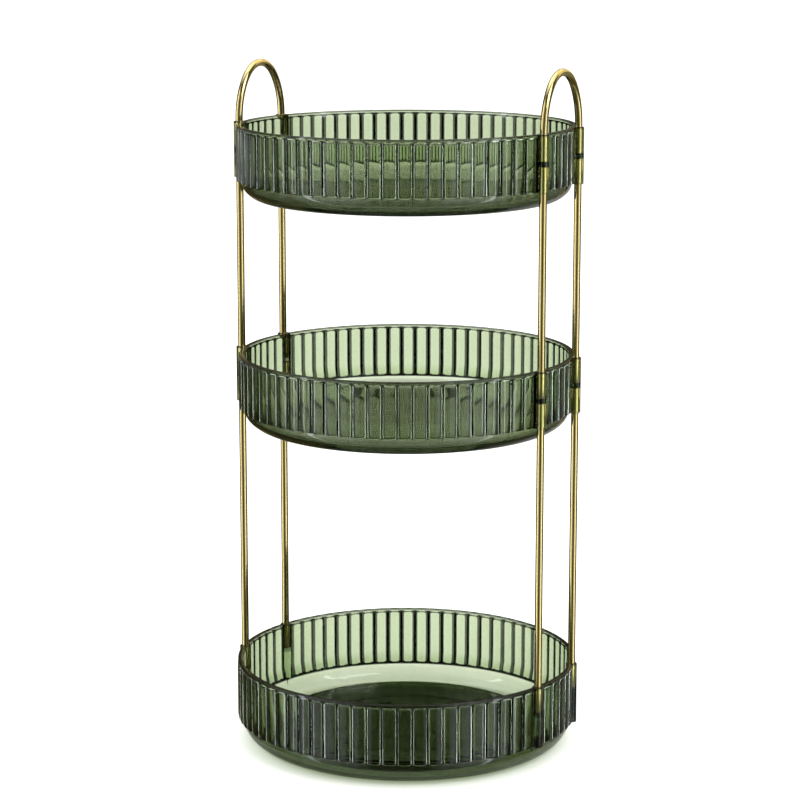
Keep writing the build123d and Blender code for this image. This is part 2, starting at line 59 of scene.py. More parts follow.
# ------------------------------------------------------------------- node kit
class Tree:
    """Short hand for a material's node tree."""

    def __init__(self, name):
        self.mat = bpy.data.materials.new(name)
        self.mat.use_nodes = True
        self.nt = self.mat.node_tree
        self.nt.nodes.clear()
        self.out = self.nt.nodes.new("ShaderNodeOutputMaterial")

    def node(self, kind, **kw):
        n = self.nt.nodes.new(kind)
        for k, v in kw.items():
            setattr(n, k, v)
        return n

    def link(self, a, b):
        self.nt.links.new(a, b)

    def math(self, op, a, b=None, clamp=False):
        n = self.node("ShaderNodeMath", operation=op, use_clamp=clamp)
        for i, v in enumerate((a, b)):
            if v is None:
                continue
            if isinstance(v, (int, float)):
                n.inputs[i].default_value = v
            else:
                self.link(v, n.inputs[i])
        return n.outputs[0]

    def ramp(self, fac, stops, interpolation="LINEAR"):
        n = self.node("ShaderNodeValToRGB")
        n.color_ramp.interpolation = interpolation
        e = n.color_ramp.elements
        while len(e) > 1:
            e.remove(e[-1])
        e[0].position, e[0].color = stops[0][0], (*stops[0][1], 1)
        for p, c in stops[1:]:
            x = e.new(p)
            x.color = (*c, 1)
        self.link(fac, n.inputs[0])
        return n.outputs[0]

    def remap(self, v, a, b, c, d, smooth=False):
        n = self.node("ShaderNodeMapRange")
        if smooth:
            n.interpolation_type = "SMOOTHSTEP"
        n.inputs["From Min"].default_value = a
        n.inputs["From Max"].default_value = b
        n.inputs["To Min"].default_value = c
        n.inputs["To Max"].default_value = d
        self.link(v, n.inputs["Value"])
        return n.outputs[0]

    def noise(self, vec, scale, detail=3.0, rough=0.5):
        n = self.node("ShaderNodeTexNoise")
        n.inputs["Scale"].default_value = scale
        n.inputs["Detail"].default_value = detail
        n.inputs["Roughness"].default_value = rough
        if vec is not None:
            self.link(vec, n.inputs["Vector"])
        return n.outputs["Fac"]

    def mapping(self, vec, scale=(1, 1, 1), rot=(0, 0, 0)):
        n = self.node("ShaderNodeMapping")
        n.inputs["Scale"].default_value = scale
        n.inputs["Rotation"].default_value = rot
        self.link(vec, n.inputs["Vector"])
        return n.outputs[0]

    def bump(self, height, strength, distance):
        n = self.node("ShaderNodeBump")
        n.inputs["Strength"].default_value = strength
        n.inputs["Distance"].default_value = distance
        self.link(height, n.inputs["Height"])
        return n.outputs[0]

    def principled(self, **kw):
        n = self.node("ShaderNodeBsdfPrincipled")
        for k, v in kw.items():
            n.inputs[k.replace("_", " ")].default_value = v
        return n


# ------------------------------------------------------------------ materials
def tray_plastic():
    """Clear dark-green moulded plastic: it refracts, and absorbs with depth."""
    t = Tree("tray_plastic")
    tc = t.node("ShaderNodeTexCoord")
    obj = tc.outputs["Object"]
    sep = t.node("ShaderNodeSeparateXYZ")
    t.link(obj, sep.inputs[0])
    x, y, z = sep.outputs
    radius = t.math("SQRT", t.math("ADD", t.math("MULTIPLY", x, x), t.math("MULTIPLY", y, y)))
    # height above the foot of the ribs, and distance below the rim
    upper, highest = t.math("GREATER_THAN", z, 0.15), t.math("GREATER_THAN", z, 0.33)
    # the radius, as it would be on the bottom tray
    radius = t.math("ADD", radius, t.math("MULTIPLY", upper, INSET * MM))
    foot = t.math("ADD", t.math("ADD", t.math("MULTIPLY", upper, 0.214), t.math("MULTIPLY", highest, 0.1518)), 0.016)
    height = t.math("SUBTRACT", z, foot)
    below = t.math("SUBTRACT", t.math("SUBTRACT", 0.041, t.math("MULTIPLY", upper, 0.004)), height)
    # painted shade: the grooves between the ribs are darkened in the colour, darker than the crowns
    groove = t.math("MULTIPLY", t.remap(radius, 0.1128, 0.1132, 0.0, 1.0), t.remap(radius, 0.1138, 0.1145, 1.0, 0.0, True))
    groove = t.math("MULTIPLY", groove, t.remap(height, -0.0005, 0.0002, 0.0, 1.0))
    dx = t.math("SUBTRACT", t.math("ABSOLUTE", x), 0.10954)
    dy = t.math("SUBTRACT", t.math("ABSOLUTE", y), 0.02935)
    tube = t.math("SQRT", t.math("ADD", t.math("MULTIPLY", dx, dx), t.math("MULTIPLY", dy, dy)))
    groove = t.math("MULTIPLY", groove, t.remap(tube, 0.0044, 0.0062, 0.0, 1.0))
    groove = t.math("MULTIPLY", groove, t.remap(below, 0.0014, 0.0020, 0.0, 1.0))
    # and painted shade: dark lines in the colour of the inside of the wall, where the flanks behind it turn the light
    # away
    turn = t.math("MULTIPLY", t.math("ARCTAN2", y, x), 72 / (2 * math.pi))
    across = t.math("MULTIPLY", t.math("ABSOLUTE", t.math("SUBTRACT", t.math("FRACT", t.math("ADD", turn, 0.5)), 0.5)), 2.0)
    along = t.math("MAXIMUM", t.remap(below, 0.0016, 0.0040, 1.0, 0.0), t.remap(height, 0.0, 0.0028, 1.0, 0.0))
    rho = t.math("POWER", t.math("ADD", t.math("POWER", across, 3.2), t.math("POWER", along, 3.2)), 1 / 3.2)
    flank = t.math("MULTIPLY", t.remap(rho, 0.56, 0.68, 0.0, 1.0, True), t.remap(radius, 0.1119, 0.1122, 1.0, 0.0))
    flank = t.math("MULTIPLY", flank, t.remap(radius, 0.1090, 0.1094, 0.0, 1.0))
    flank = t.math("MULTIPLY", flank, t.remap(tube, 0.0038, 0.0042, 0.0, 1.0))
    flank = t.math("MULTIPLY", flank, t.remap(below, 0.0015, 0.0019, 0.0, 1.0))
    flank = t.math("MULTIPLY", flank, t.remap(height, -0.0002, 0.0003, 0.0, 1.0))
    # painted shade: a dark band on the web between two rod ends
    low = t.math("ADD", 0.0205, t.math("MULTIPLY", upper, -0.0040))
    high = t.math("ADD", 0.0238, t.math("MULTIPLY", upper, -0.0038))
    web_painted_shade = t.math("MULTIPLY", t.math("GREATER_THAN", height, low), t.math("LESS_THAN", height, high))
    web_painted_shade = t.math("MULTIPLY", web_painted_shade, t.remap(tube, 0.0038, 0.0041, 0.62, 0.0))
    # painted shade: a dark line along the top of the rim, joined with the web's painted shade
    edge = t.math("MAXIMUM", t.remap(below, 0.0006, 0.0014, 0.88, 0.0, True), web_painted_shade)
    # painted shade: the dish below the ribs is darkened in the colour, more on the upper trays
    dish_painted_shade = t.math("MULTIPLY", t.remap(height, -0.0045, 0.0010, 1.0, 0.0, True), t.math("ADD", t.math("MULTIPLY", upper, 0.36), 0.12))
    # all this painted shade together darkens the base colour
    dark = t.math("MAXIMUM", t.math("MAXIMUM", t.math("MULTIPLY", groove, 0.70), t.math("MULTIPLY", flank, 0.97)), t.math("MAXIMUM", edge, dish_painted_shade))
    # flow lines and a little unevenness in the moulding
    flow = t.noise(t.mapping(obj, (1, 1, 0.25)), 55.0, 2.0, 0.5)
    fine = t.noise(obj, 900.0, 2.0, 0.6)
    # the rounded edges of the ribs are polished brighter than the crowns
    tip = t.math("MAXIMUM", t.remap(height, 0.0, 0.0021, 1.0, 0.0), t.remap(below, 0.0018, 0.0039, 1.0, 0.0))
    round_ = t.math("POWER", t.math("ADD", t.math("POWER", across, 3.0), t.math("POWER", tip, 3.0)), 1 / 3.0)
    shine = t.math("MULTIPLY", t.remap(round_, 0.73, 0.77, 0.0, 1.0, True), t.remap(round_, 0.85, 0.90, 1.0, 0.0, True))
    shine = t.math("MULTIPLY", shine, t.remap(radius, 0.1138, 0.1141, 0.0, 1.0))
    shine = t.math("MULTIPLY", shine, t.remap(tube, 0.0040, 0.0046, 0.0, 1.0))
    shine = t.math("MULTIPLY", shine, t.remap(t.noise(t.mapping(obj, (1, 1, 0.2)), 120.0, 1.0, 0.5), 0.35, 0.62, 0.25, 1.0))
    p = t.principled(IOR=1.54, Transmission_Weight=1.0, Coat_IOR=2.2, Coat_Roughness=0.0)
    t.link(shine, p.inputs["Coat Weight"])
    tint = t.ramp(flow, [(0.3, (0.90, 0.91, 0.88)), (0.7, (0.96, 0.96, 0.95))])
    shadeit = t.node("ShaderNodeMix", data_type="RGBA", blend_type="MULTIPLY")
    shadeit.inputs[0].default_value = 1.0
    t.link(tint, shadeit.inputs[6])
    t.link(t.ramp(dark, [(0.0, (1.0, 1.0, 1.0)), (1.0, (0.0, 0.0, 0.0))]), shadeit.inputs[7])
    t.link(shadeit.outputs[2], p.inputs["Base Color"])
    rough = t.math("ADD", t.remap(flow, 0.3, 0.7, 0.012, 0.035), t.remap(fine, 0.4, 0.75, 0.0, 0.02))
    t.link(rough, p.inputs["Roughness"])
    relief = t.math("ADD", flow, t.math("MULTIPLY", fine, 0.05))
    t.link(t.bump(relief, 0.25, 0.0004), p.inputs["Normal"])
    clear = t.node("ShaderNodeBsdfTransparent")
    clear.inputs["Color"].default_value = (0.88, 0.885, 0.87, 1)
    path = t.node("ShaderNodeLightPath")
    lamps = t.node("ShaderNodeMixShader")
    t.link(path.outputs["Is Shadow Ray"], lamps.inputs[0])
    t.link(p.outputs[0], lamps.inputs[1])
    t.link(clear.outputs[0], lamps.inputs[2])
    soft = t.node("ShaderNodeMixShader")
    t.link(path.outputs["Is Diffuse Ray"], soft.inputs[0])
    t.link(lamps.outputs[0], soft.inputs[1])
    t.link(clear.outputs[0], soft.inputs[2])
    t.link(soft.outputs[0], t.out.inputs["Surface"])
    vol = t.node("ShaderNodeVolumeAbsorption")
    vol.inputs["Color"].default_value = (0.34, 0.48, 0.14, 1)
    vol.inputs["Density"].default_value = 330.0
    t.link(vol.outputs[0], t.out.inputs["Volume"])
    return t.mat


def tray_bore():
    """The wall of a rod socket. The rod is a press fit, so the plastic wets it
    and no air shows between them."""
    t = Tree("tray_bore")
    obj = t.node("ShaderNodeTexCoord").outputs["Object"]
    smear = t.noise(t.mapping(obj, (600, 600, 60)), 1.0, 2.0, 0.5)
    p = t.principled(IOR=1.01, Transmission_Weight=1.0)
    t.link(t.ramp(smear, [(0.3, (0.90, 0.91, 0.88)), (0.7, (0.99, 0.99, 0.98))]), p.inputs["Base Color"])
    t.link(t.remap(smear, 0.3, 0.7, 0.0, 0.015), p.inputs["Roughness"])
    clear = t.node("ShaderNodeBsdfTransparent")
    path = t.node("ShaderNodeLightPath")
    lamps = t.node("ShaderNodeMixShader")
    t.link(path.outputs["Is Shadow Ray"], lamps.inputs[0])
    t.link(p.outputs[0], lamps.inputs[1])
    t.link(clear.outputs[0], lamps.inputs[2])
    t.link(lamps.outputs[0], t.out.inputs["Surface"])
    return t.mat


def gold_plating():
    """Polished gold plating on drawn rod: faint lengthwise draw lines."""
    t = Tree("gold_plating")
    tc = t.node("ShaderNodeTexCoord")
    obj = tc.outputs["Object"]
    draw = t.noise(t.mapping(obj, (3000, 3000, 6)), 1.0, 3.0, 0.6)
    cloud = t.noise(obj, 45.0, 3.0, 0.55)
    p = t.principled(Metallic=1.0)
    t.link(t.ramp(cloud, [(0.25, (0.79, 0.64, 0.27)), (0.75, (0.86, 0.70, 0.33))]), p.inputs["Base Color"])
    rough = t.math("ADD", t.remap(draw, 0.3, 0.7, 0.06, 0.12), t.remap(cloud, 0.4, 0.7, 0.0, 0.04))
    t.link(rough, p.inputs["Roughness"])
    t.link(t.bump(draw, 0.12, 0.00002), p.inputs["Normal"])
    t.link(p.outputs[0], t.out.inputs["Surface"])
    return t.mat


def zinc_steel(name, base, dark):
    """Zinc-plated pressed sheet: turned grain round the centre, light mottling."""
    t = Tree(name)
    tc = t.node("ShaderNodeTexCoord")
    obj = tc.outputs["Object"]
    sep = t.node("ShaderNodeSeparateXYZ")
    t.link(obj, sep.inputs[0])
    x, y = sep.outputs[0], sep.outputs[1]
    radius = t.math("SQRT", t.math("ADD", t.math("MULTIPLY", x, x), t.math("MULTIPLY", y, y)))
    comb = t.node("ShaderNodeCombineXYZ")
    t.link(t.math("MULTIPLY", radius, 2600.0), comb.inputs[0])
    t.link(t.math("MULTIPLY", x, 12.0), comb.inputs[1])
    t.link(t.math("MULTIPLY", y, 12.0), comb.inputs[2])
    grain = t.noise(comb.outputs[0], 1.0, 2.0, 0.6)
    mottle = t.noise(obj, 260.0, 4.0, 0.6)
    p = t.principled(Metallic=1.0)
    t.link(t.ramp(mottle, [(0.3, dark), (0.7, base)]), p.inputs["Base Color"])
    t.link(t.math("ADD", t.remap(grain, 0.3, 0.7, 0.24, 0.38), t.remap(mottle, 0.3, 0.7, 0.0, 0.08)), p.inputs["Roughness"])
    t.link(t.bump(grain, 0.25, 0.00003), p.inputs["Normal"])
    t.link(p.outputs[0], t.out.inputs["Surface"])
    return t.mat


def rubber():
    t = Tree("foot_rubber")
    obj = t.node("ShaderNodeTexCoord").outputs["Object"]
    grit = t.noise(obj, 2600.0, 3.0, 0.6)
    dust = t.noise(obj, 180.0, 4.0, 0.6)
    p = t.principled()
    t.link(t.ramp(dust, [(0.35, (0.018, 0.018, 0.019)), (0.8, (0.05, 0.05, 0.05))]), p.inputs["Base Color"])
    t.link(t.remap(grit, 0.3, 0.7, 0.6, 0.85), p.inputs["Roughness"])
    t.link(t.bump(grit, 0.4, 0.00008), p.inputs["Normal"])
    t.link(p.outputs[0], t.out.inputs["Surface"])
    return t.mat


def polished_balls():
    t = Tree("ball_steel")
    obj = t.node("ShaderNodeTexCoord").outputs["Object"]
    film = t.noise(obj, 700.0, 3.0, 0.6)
    p = t.principled(Metallic=1.0)
    t.link(t.ramp(film, [(0.3, (0.52, 0.51, 0.48)), (0.7, (0.66, 0.66, 0.66))]), p.inputs["Base Color"])
    t.link(t.remap(film, 0.3, 0.7, 0.05, 0.16), p.inputs["Roughness"])
    t.link(p.outputs[0], t.out.inputs["Surface"])
    return t.mat


def cage_plastic():
    t = Tree("cage_plastic")
    obj = t.node("ShaderNodeTexCoord").outputs["Object"]
    n = t.noise(obj, 420.0, 4.0, 0.6)
    p = t.principled()
    t.link(t.ramp(n, [(0.3, (0.62, 0.61, 0.56)), (0.7, (0.72, 0.71, 0.67))]), p.inputs["Base Color"])
    t.link(t.remap(n, 0.3, 0.7, 0.38, 0.55), p.inputs["Roughness"])
    t.link(t.bump(n, 0.2, 0.00005), p.inputs["Normal"])
    t.link(p.outputs[0], t.out.inputs["Surface"])
    return t.mat


PLASTIC = tray_plastic()
BORE = tray_bore()
GOLD = gold_plating()
STEEL = zinc_steel("turntable_steel", (0.56, 0.57, 0.58), (0.42, 0.43, 0.44))
SCREW = zinc_steel("screw_steel", (0.50, 0.51, 0.52), (0.36, 0.37, 0.38))
RIVET = zinc_steel("rivet_steel", (0.54, 0.54, 0.55), (0.40, 0.40, 0.41))
RUBBER = rubber()
BALLS = polished_balls()
CAGE = cage_plastic()


# ---------------------------------------------------------------- mesh helpers
def new_object(name, mesh, mat):
    o = bpy.data.objects.new(name, mesh)
    bpy.context.scene.collection.objects.link(o)
    mesh.materials.clear()
    mesh.materials.append(mat)
    return o


def shade(mesh, angle):
    """Smooth shading, with sharp edges where faces meet at more than angle."""
    bm = bmesh.new()
    bm.from_mesh(mesh)
    for f in bm.faces:
        f.smooth = True
    limit = math.radians(angle)
    for e in bm.edges:
        e.smooth = len(e.link_faces) == 2 and e.calc_face_angle(math.pi) < limit
    bm.to_mesh(mesh)
    bm.free()


def lathe(rings, segments, centre, name):
    """Closed solid of revolution about a vertical axis: rings are (radius, z)."""
    verts, faces = [], []
    first = len(verts)
    verts.append((centre[0], centre[1], rings[0][1]))
    rows = []
    for r, z in rings:
        if r <= 0:
            continue
        rows.append(len(verts))
        for k in range(segments):
            a = 2 * math.pi * k / segments
            verts.append((centre[0] + r * math.cos(a), centre[1] + r * math.sin(a), z))
    last = len(verts)
    verts.append((centre[0], centre[1], rings[-1][1]))
    for k in range(segments):
        n = (k + 1) % segments
        faces.append((first, rows[0] + n, rows[0] + k))
        for a, b in zip(rows, rows[1:]):
            faces.append((a + k, a + n, b + n, b + k))
        faces.append((last, rows[-1] + k, rows[-1] + n))
    mesh = bpy.data.meshes.new(name)
    mesh.from_pydata([tuple(c * MM for c in v) for v in verts], [], faces)
    mesh.update()
    return mesh


def boolean(obj, cutter, operation):
    """Applies one boolean and removes the cutter."""
    mod = obj.modifiers.new("cut", "BOOLEAN")
    mod.object = cutter
    mod.operation = operation
    mod.solver = "MANIFOLD"
    bpy.context.view_layer.update()
    dg = bpy.context.evaluated_depsgraph_get()
    made = bpy.data.meshes.new_from_object(obj.evaluated_get(dg))
    obj.modifiers.clear()
    old = obj.data
    obj.data = made
    made.name = obj.name
    bpy.data.meshes.remove(old)
    bpy.data.objects.remove(cutter)


def arc(centre, radius, a0, a1, n, ends=True):
    """Points on an arc, degrees."""
    out = []
    for i in range(n + 1):
        a = math.radians(a0 + (a1 - a0) * i / n)
        out.append((centre[0] + radius * math.cos(a), centre[1] + radius * math.sin(a)))
    return out if ends else out[1:-1]


def smooth01(v):
    v = np.clip(v, 0, 1)
    return v * v * (3 - 2 * v)


# ----------------------------------------------------------------------- trays
TIP_POWER = 3.0
TIP_ROWS = (0.12, 0.28, 0.48, 0.72, 1.0, 1.35, 1.7, 2.1)
TIP_H = TIP_ROWS[-1]


def rib_profile():
    """Height of a rib across its half width, 1 at the crest and 0 in the groove:
    a nearly flat crown, then a straight steep flank."""
    u = np.linspace(0, 1, 801)
    slope = 0.22 * u + 1.2 * smooth01((u - 0.80) / 0.08)
    drop = np.concatenate([[0], np.cumsum((slope[1:] + slope[:-1]) / 2)])
    return u, 1 - drop / drop[-1]


PROFILE = rib_profile()


def columns():
    """Angles of the mesh columns: 15 per rib, closer together on the flanks,
    and finer still across the four rod tubes. The second array marks the
    columns that the smooth surfaces keep."""
    us = np.array([-1, -0.97, -0.92, -0.87, -0.84, -0.81, -0.77, -0.45, 0.0, 0.45, 0.77, 0.81, 0.84, 0.87, 0.92, 0.97])
    keep = np.array([1, 0, 0, 0, 0, 0, 0, 1, 1, 1, 0, 0, 0, 0, 0, 0], bool)
    pitch = 2 * math.pi / RIBS
    ang = np.mod(np.array([(i + u / 2) * pitch for i in range(RIBS) for u in us]), 2 * math.pi)
    kept = np.tile(keep, RIBS)
    ys = np.array([3.745, 3.71, 3.65, 3.55, 3.4, 3.18, 2.88, 2.52, 2.1, 1.6, 1.1, 0.55])
    ys = np.concatenate([-ys, [0.0], ys[::-1]])
    for a in ROD_ANGLES:
        c = math.radians(a) % (2 * math.pi)
        d = np.angle(np.exp(1j * (ang - c))) * ROD_RING_R
        far = np.abs(d) > 3.83
        ang, kept = ang[far], kept[far]
        ang = np.concatenate([ang, np.mod(c + np.arcsin(ys / ROD_RING_R), 2 * math.pi)])
        kept = np.concatenate([kept, np.ones(len(ys), bool)])
    order = np.argsort(ang)
    ang, kept = ang[order], kept[order]
    apart = np.diff(np.append(ang, ang[0] + 2 * math.pi)) > 1e-6
    return ang[apart], kept[apart]


THETA, KEPT = columns()
RIB_U = np.abs(((THETA * RIBS / (2 * math.pi) + 0.5) % 1.0) - 0.5) * 2
BOSS_OUT = np.full(len(THETA), -1.0)
BOSS_IN = np.full(len(THETA), 1e3)
RIBBED = np.ones(len(THETA))
for _a in ROD_ANGLES:
    _d = np.angle(np.exp(1j * (THETA - math.radians(_a))))
    RIBBED = np.where(np.abs(_d) < math.pi / RIBS, 0.0, RIBBED)
    _in = (np.abs(ROD_RING_R * np.sin(_d)) < TUBE_R) & (np.cos(_d) > 0)
    _q = np.sqrt(np.maximum(TUBE_R**2 - (ROD_RING_R * np.sin(_d)) ** 2, 0))
    BOSS_OUT = np.where(_in, ROD_RING_R * np.cos(_d) + _q, BOSS_OUT)
    BOSS_IN = np.where(_in, ROD_RING_R * np.cos(_d) - _q, BOSS_IN)


def rib_radius(down, up, band):
    """Outside radius of the ribbed wall: a rod tube takes the place of a rib.
    down: height above the foot of the ribs, up: distance below the plain band."""
    u = RIB_U
    valley = VALLEY_R
    if down < TIP_H:
        w = (TIP_H - down) / TIP_H
        rho = (u**TIP_POWER + w**TIP_POWER) ** (1 / TIP_POWER)
        base = DISH_R + (valley - DISH_R) * float(smooth01(down / 1.1))
    elif up < TIP_H:
        w = (TIP_H - up) / TIP_H
        rho = (u**TIP_POWER + w**TIP_POWER) ** (1 / TIP_POWER)
        base = valley + (band - valley) * (1 - float(smooth01(up / 0.6)))
    else:
        rho, base = u, valley
    full = np.interp(np.minimum(rho, 1), *PROFILE) * RIBBED
    return base + (CREST_R - base) * full


def build_tray(name, rim, ribbed, under, inside, inset=0.0):
    """One tray as a closed mesh. under: underside points (r, z) from the axis to
    the foot of the ribs; inside: points from the upper end of the wall's inside
    corner down to the axis, both relative to the table."""
    foot = rim - ribbed
    wall_in = WALL_IN_R - inset
    rows = []

    def plain(r, z):
        rows.append((np.full(len(THETA), r), np.full(len(THETA), z)))

    for r, z in under:
        plain(r, z)
    # foot of the ribs, tips, wall, upper tips
    boss = BOSS_OUT
    rows.append((np.maximum(np.full(len(THETA), DISH_R - inset), boss), np.full(len(THETA), foot)))
    top = rim - RIM_BAND
    for d in TIP_ROWS:
        rows.append((np.maximum(rib_radius(d, 99, RIM_R) - inset, boss), np.full(len(THETA), foot + d)))
    mid = 0.5 * (foot + top)
    rows.append((np.maximum(rib_radius(99, 99, RIM_R) - inset, boss), np.full(len(THETA), mid)))
    for d in TIP_ROWS[::-1] + (0.0,):
        rows.append((np.maximum(rib_radius(99, d, RIM_R) - inset, boss), np.full(len(THETA), top - d)))
    # plain band, rounded over at the rim
    edge = np.maximum(np.full(len(THETA), RIM_R - inset), boss)
    rows.append((edge, np.full(len(THETA), top + 0.3)))
    rows.append((edge, np.full(len(THETA), rim - RIM_ROUND)))
    for k in (1, 2, 3, 4):
        a = math.radians(90 * k / 4)
        rows.append((edge - RIM_ROUND * (1 - math.cos(a)), np.full(len(THETA), rim - RIM_ROUND * (1 - math.sin(a)))))
    # inside of the rim, wall
    wall = np.minimum(np.full(len(THETA), wall_in), BOSS_IN)
    for k in (0, 1, 2, 3, 4):
        a = math.radians(90 * k / 4)
        rows.append((wall + RIM_ROUND * (1 - math.sin(a)), np.full(len(THETA), rim - RIM_ROUND * (1 - math.cos(a)))))
    z_hi = inside[0][1]
    for f in (0.33, 0.66):
        rows.append((wall, np.full(len(THETA), rim - RIM_ROUND + (z_hi - rim + RIM_ROUND) * f)))
    for r, z in inside:
        rows.append((np.minimum(np.full(len(THETA), r), BOSS_IN) if r > 100 else np.full(len(THETA), r), np.full(len(THETA), z)))

    every = np.arange(len(THETA))
    some = np.flatnonzero(KEPT)
    verts, faces, previous = [], [], None
    poles = [rows[0][1][0], rows[-1][1][0]]
    body = [row for row in rows if row[0][0] > 0.01]
    rings = []
    for r, z in body:
        at = z[0] * 1.0
        fine = at > foot - 0.35 and r[0] > wall_in + 0.05
        cols = every if fine else some
        ring = {}
        for j in cols:
            ring[int(j)] = len(verts)
            verts.append((r[j] * math.cos(THETA[j]) * MM, r[j] * math.sin(THETA[j]) * MM, z[j] * MM))
        rings.append((ring, cols))
    for (low, lc), (high, hc) in zip(rings, rings[1:]):
        if len(lc) == len(hc):
            for a, b in zip(lc, np.roll(lc, -1)):
                faces.append((low[int(a)], low[int(b)], high[int(b)], high[int(a)]))
            continue
        # one ring has more columns: each cell takes in all of them
        for a, b in zip(some, np.roll(some, -1)):
            run = [int(a)]
            while run[-1] != int(b):
                run.append((run[-1] + 1) % len(THETA))
            bottom = [low[j] for j in run if j in low]
            top = [high[j] for j in run if j in high]
            faces.append(tuple(bottom + top[::-1]))
    first, last = rings[0], rings[-1]
    verts += [(0, 0, poles[0] * MM), (0, 0, poles[1] * MM)]
    p0, p1 = len(verts) - 2, len(verts) - 1
    for a, b in zip(first[1], np.roll(first[1], -1)):
        faces.append((p0, first[0][int(b)], first[0][int(a)]))
    for a, b in zip(last[1], np.roll(last[1], -1)):
        faces.append((p1, last[0][int(a)], last[0][int(b)]))
    mesh = bpy.data.meshes.new(name)
    mesh.from_pydata(verts, [], faces)
    mesh.update()
    obj = new_object(name, mesh, PLASTIC)
    mesh.materials.append(BORE)
    return obj


def socket_cutter(rim, foot, z_under, both=True):
    """The round sockets of one tray, as one cutter: four above, four below."""
    bm = bmesh.new()
    for a in ROD_ANGLES:
        c = (ROD_RING_R * math.cos(math.radians(a)), ROD_RING_R * math.sin(math.radians(a)))
        for rings in [
            [(SOCKET_R - 0.3, rim - SOCKET_UP), (SOCKET_R, rim - SOCKET_UP + 0.3), (SOCKET_R, rim - 0.45), (SOCKET_R + 0.5, rim + 0.05), (SOCKET_R + 0.5, rim + 1)],
            [(SOCKET_R + 0.35, z_under - 2), (SOCKET_R + 0.35, foot - 0.05), (SOCKET_R, foot + 0.35), (SOCKET_R, foot + SOCKET_DOWN - 0.3), (SOCKET_R - 0.3, foot + SOCKET_DOWN)],
        ][: 2 if both else 1]:
            m = lathe(rings, 48, c, "socket")
            for f in m.polygons:
                rr = [math.hypot(m.vertices[v].co.x / MM - c[0], m.vertices[v].co.y / MM - c[1]) for v in f.vertices]
                f.material_index = 1 if min(rr) > SOCKET_R - 0.01 and max(rr) < SOCKET_R + 0.01 else 0
            bm.from_mesh(m)
            bpy.data.meshes.remove(m)
    mesh = bpy.data.meshes.new("sockets")
    bm.to_mesh(mesh)
    bm.free()
    mesh.materials.append(PLASTIC)
    mesh.materials.append(BORE)
    cutter = bpy.data.objects.new("sockets", mesh)
    bpy.context.scene.collection.objects.link(cutter)
    return cutter


def upper_tray(name, rim):
    foot = rim - RIBBED_H
    under = foot - 12.5
    side, floor = (102.0 - INSET, foot), (96.0 - INSET, foot + 5.95)
    wall_in = WALL_IN_R - INSET
    knee = math.degrees(math.atan2(side[1] - floor[1], side[0] - floor[0]))
    below = [(0, under + 0.6), (30, under + 0.6), (60, under + 0.6), (80, under + 0.6), (88.2, under + 0.6), (88.7, under + 0.52),
             (89.0, under + 0.3), (89.3, under + 0.08), (89.8, under), (91.3, under)]
    below += arc(floor, 18.45, -90, knee, 9) + arc(side, 10.0, knee, 0, 9)[1:]
    run = (wall_in - (side[0] + 7.6 * math.cos(math.radians(12)))) / math.sin(math.radians(12))
    turn_z = foot - 7.6 * math.sin(math.radians(12)) + run * math.cos(math.radians(12))
    inner = [(wall_in, turn_z + 0.6), (wall_in - 0.03, turn_z - 0.3)]
    inner += arc(side, 7.6, -12, knee, 7) + arc(floor, 16.05, knee, -90, 8)[1:]
    fz = under + 2.4
    inner += [(90, fz), (80, fz), (60, fz), (30, fz), (0, fz)]
    obj = build_tray(name, rim, RIBBED_H, below, inner, INSET)
    boolean(obj, socket_cutter(rim, foot, under), "DIFFERENCE")
    shade(obj.data, 24)
    return obj


def lower_tray(name, rim):
    foot = rim - BOTTOM_RIBBED_H
    c = (97.0, foot)
    below = [(0, 6.4), (14, 6.4), (28.9, 6.4), (29.0, 5.9), (31.0, 5.9), (31.1, 6.4), (58.9, 6.4), (59.0, 5.9), (61.0, 5.9),
             (61.1, 6.4), (80, 6.4), (88.2, 6.4), (88.7, 6.15), (92.3, 1.3), (92.7, 1.0), (95, 1.0)]
    below += arc(c, 15.0, -90, 0, 16)
    run = (WALL_IN_R - (97.0 + 12.5 * math.cos(math.radians(12)))) / math.sin(math.radians(12))
    turn_z = foot - 12.5 * math.sin(math.radians(12)) + run * math.cos(math.radians(12))
    inner = [(WALL_IN_R, turn_z + 0.6), (WALL_IN_R - 0.03, turn_z - 0.3)]
    inner += arc(c, 12.5, -12, -90, 13)
    inner += [(94.2, 3.5), (93.7, 3.75), (90.4, 8.6), (89.8, 8.95), (89.0, 9.0), (80, 9.0), (60, 9.0), (30, 9.0), (0, 9.0)]
    obj = build_tray(name, rim, BOTTOM_RIBBED_H, below, inner)
    boolean(obj, socket_cutter(rim, foot, 0.0, False), "DIFFERENCE")
    posts, holes = bmesh.new(), bmesh.new()
    for k in range(4):
        a = math.radians(45 + 90 * k)
        at = (45 * math.cos(a), 45 * math.sin(a))
        for bm, rings in ((posts, [(3.8, 5.9), (4.0, 6.1), (4.0, 7.2)]), (holes, [(1.25, 5.0), (1.25, 8.0), (1.05, 8.2)])):
            m = lathe(rings, 40, at, "post")
            bm.from_mesh(m)
            bpy.data.meshes.remove(m)
    for bm, op in ((posts, "UNION"), (holes, "DIFFERENCE")):
        mesh = bpy.data.meshes.new("post")
        bm.to_mesh(mesh)
        bm.free()
        cutter = bpy.data.objects.new("post", mesh)
        bpy.context.scene.collection.objects.link(cutter)
        boolean(obj, cutter, op)
    shade(obj.data, 24)
    return obj


TRAYS = {
    "bottom_tray": lower_tray("bottom_tray_moulding", BOTTOM_RIM),
    "middle_tray": upper_tray("middle_tray_moulding", MIDDLE_RIM),
    "top_tray": upper_tray("top_tray_moulding", TOP_RIM),
}
for node, obj in TRAYS.items():
    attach(obj, "tower")
    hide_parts(node)


